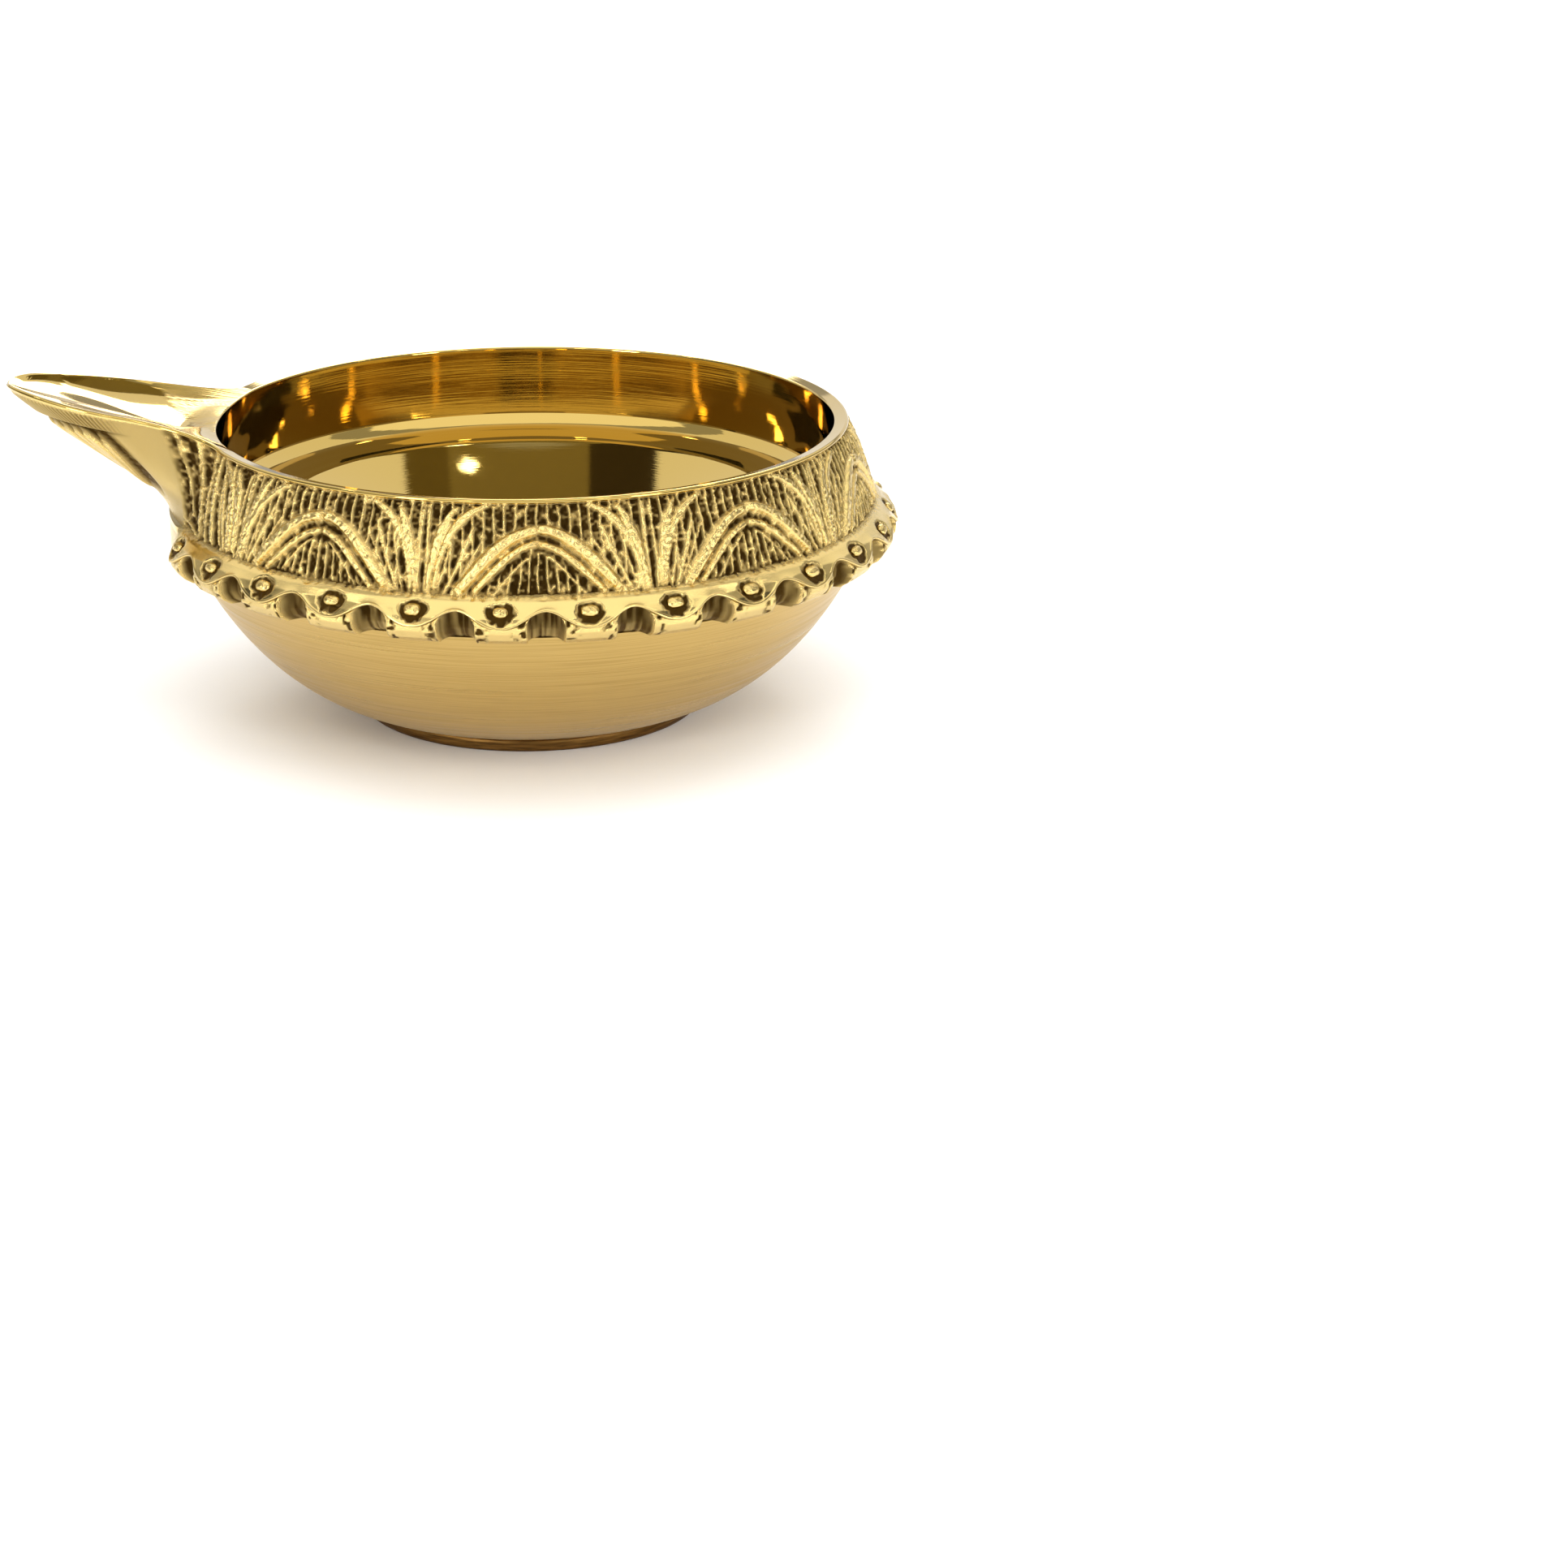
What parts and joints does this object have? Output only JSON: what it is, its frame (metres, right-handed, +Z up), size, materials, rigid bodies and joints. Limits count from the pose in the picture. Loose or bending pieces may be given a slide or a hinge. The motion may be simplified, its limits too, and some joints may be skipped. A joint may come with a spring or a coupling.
{
  "type": "diya oil lamp",
  "caption": "Brass diya oil lamp: turned bowl on a low foot, fluted and beaded band, relief shoulder wall, thin polished rim and a leaf-shaped wick spout.",
  "frame": {"origin": "centre of the foot's underside, on the surface the lamp stands on", "axes": "+Z up along the bowl's axis, the wick spout points along -X, +Y to the lamp's side"},
  "size_m": [0.0826, 0.0696, 0.0315],
  "materials": {
    "satin_turned_brass": "satin, with fine turning marks",
    "dark_foot_brass": "dull, darkened with age",
    "mirror_brass": "mirror polished",
    "cast_relief_brass": "as cast, with dark ground and polished high spots"
  },
  "bodies": {
    "root": {"foot_disc": "dark_foot_brass", "turned_bowl": "satin_turned_brass", "oil_well": "mirror_brass", "scalloped_band": "cast_relief_brass", "relief_wall": "cast_relief_brass", "rim_lip": "mirror_brass", "wick_spout": "mirror_brass"}
  },
  "joints": []
}
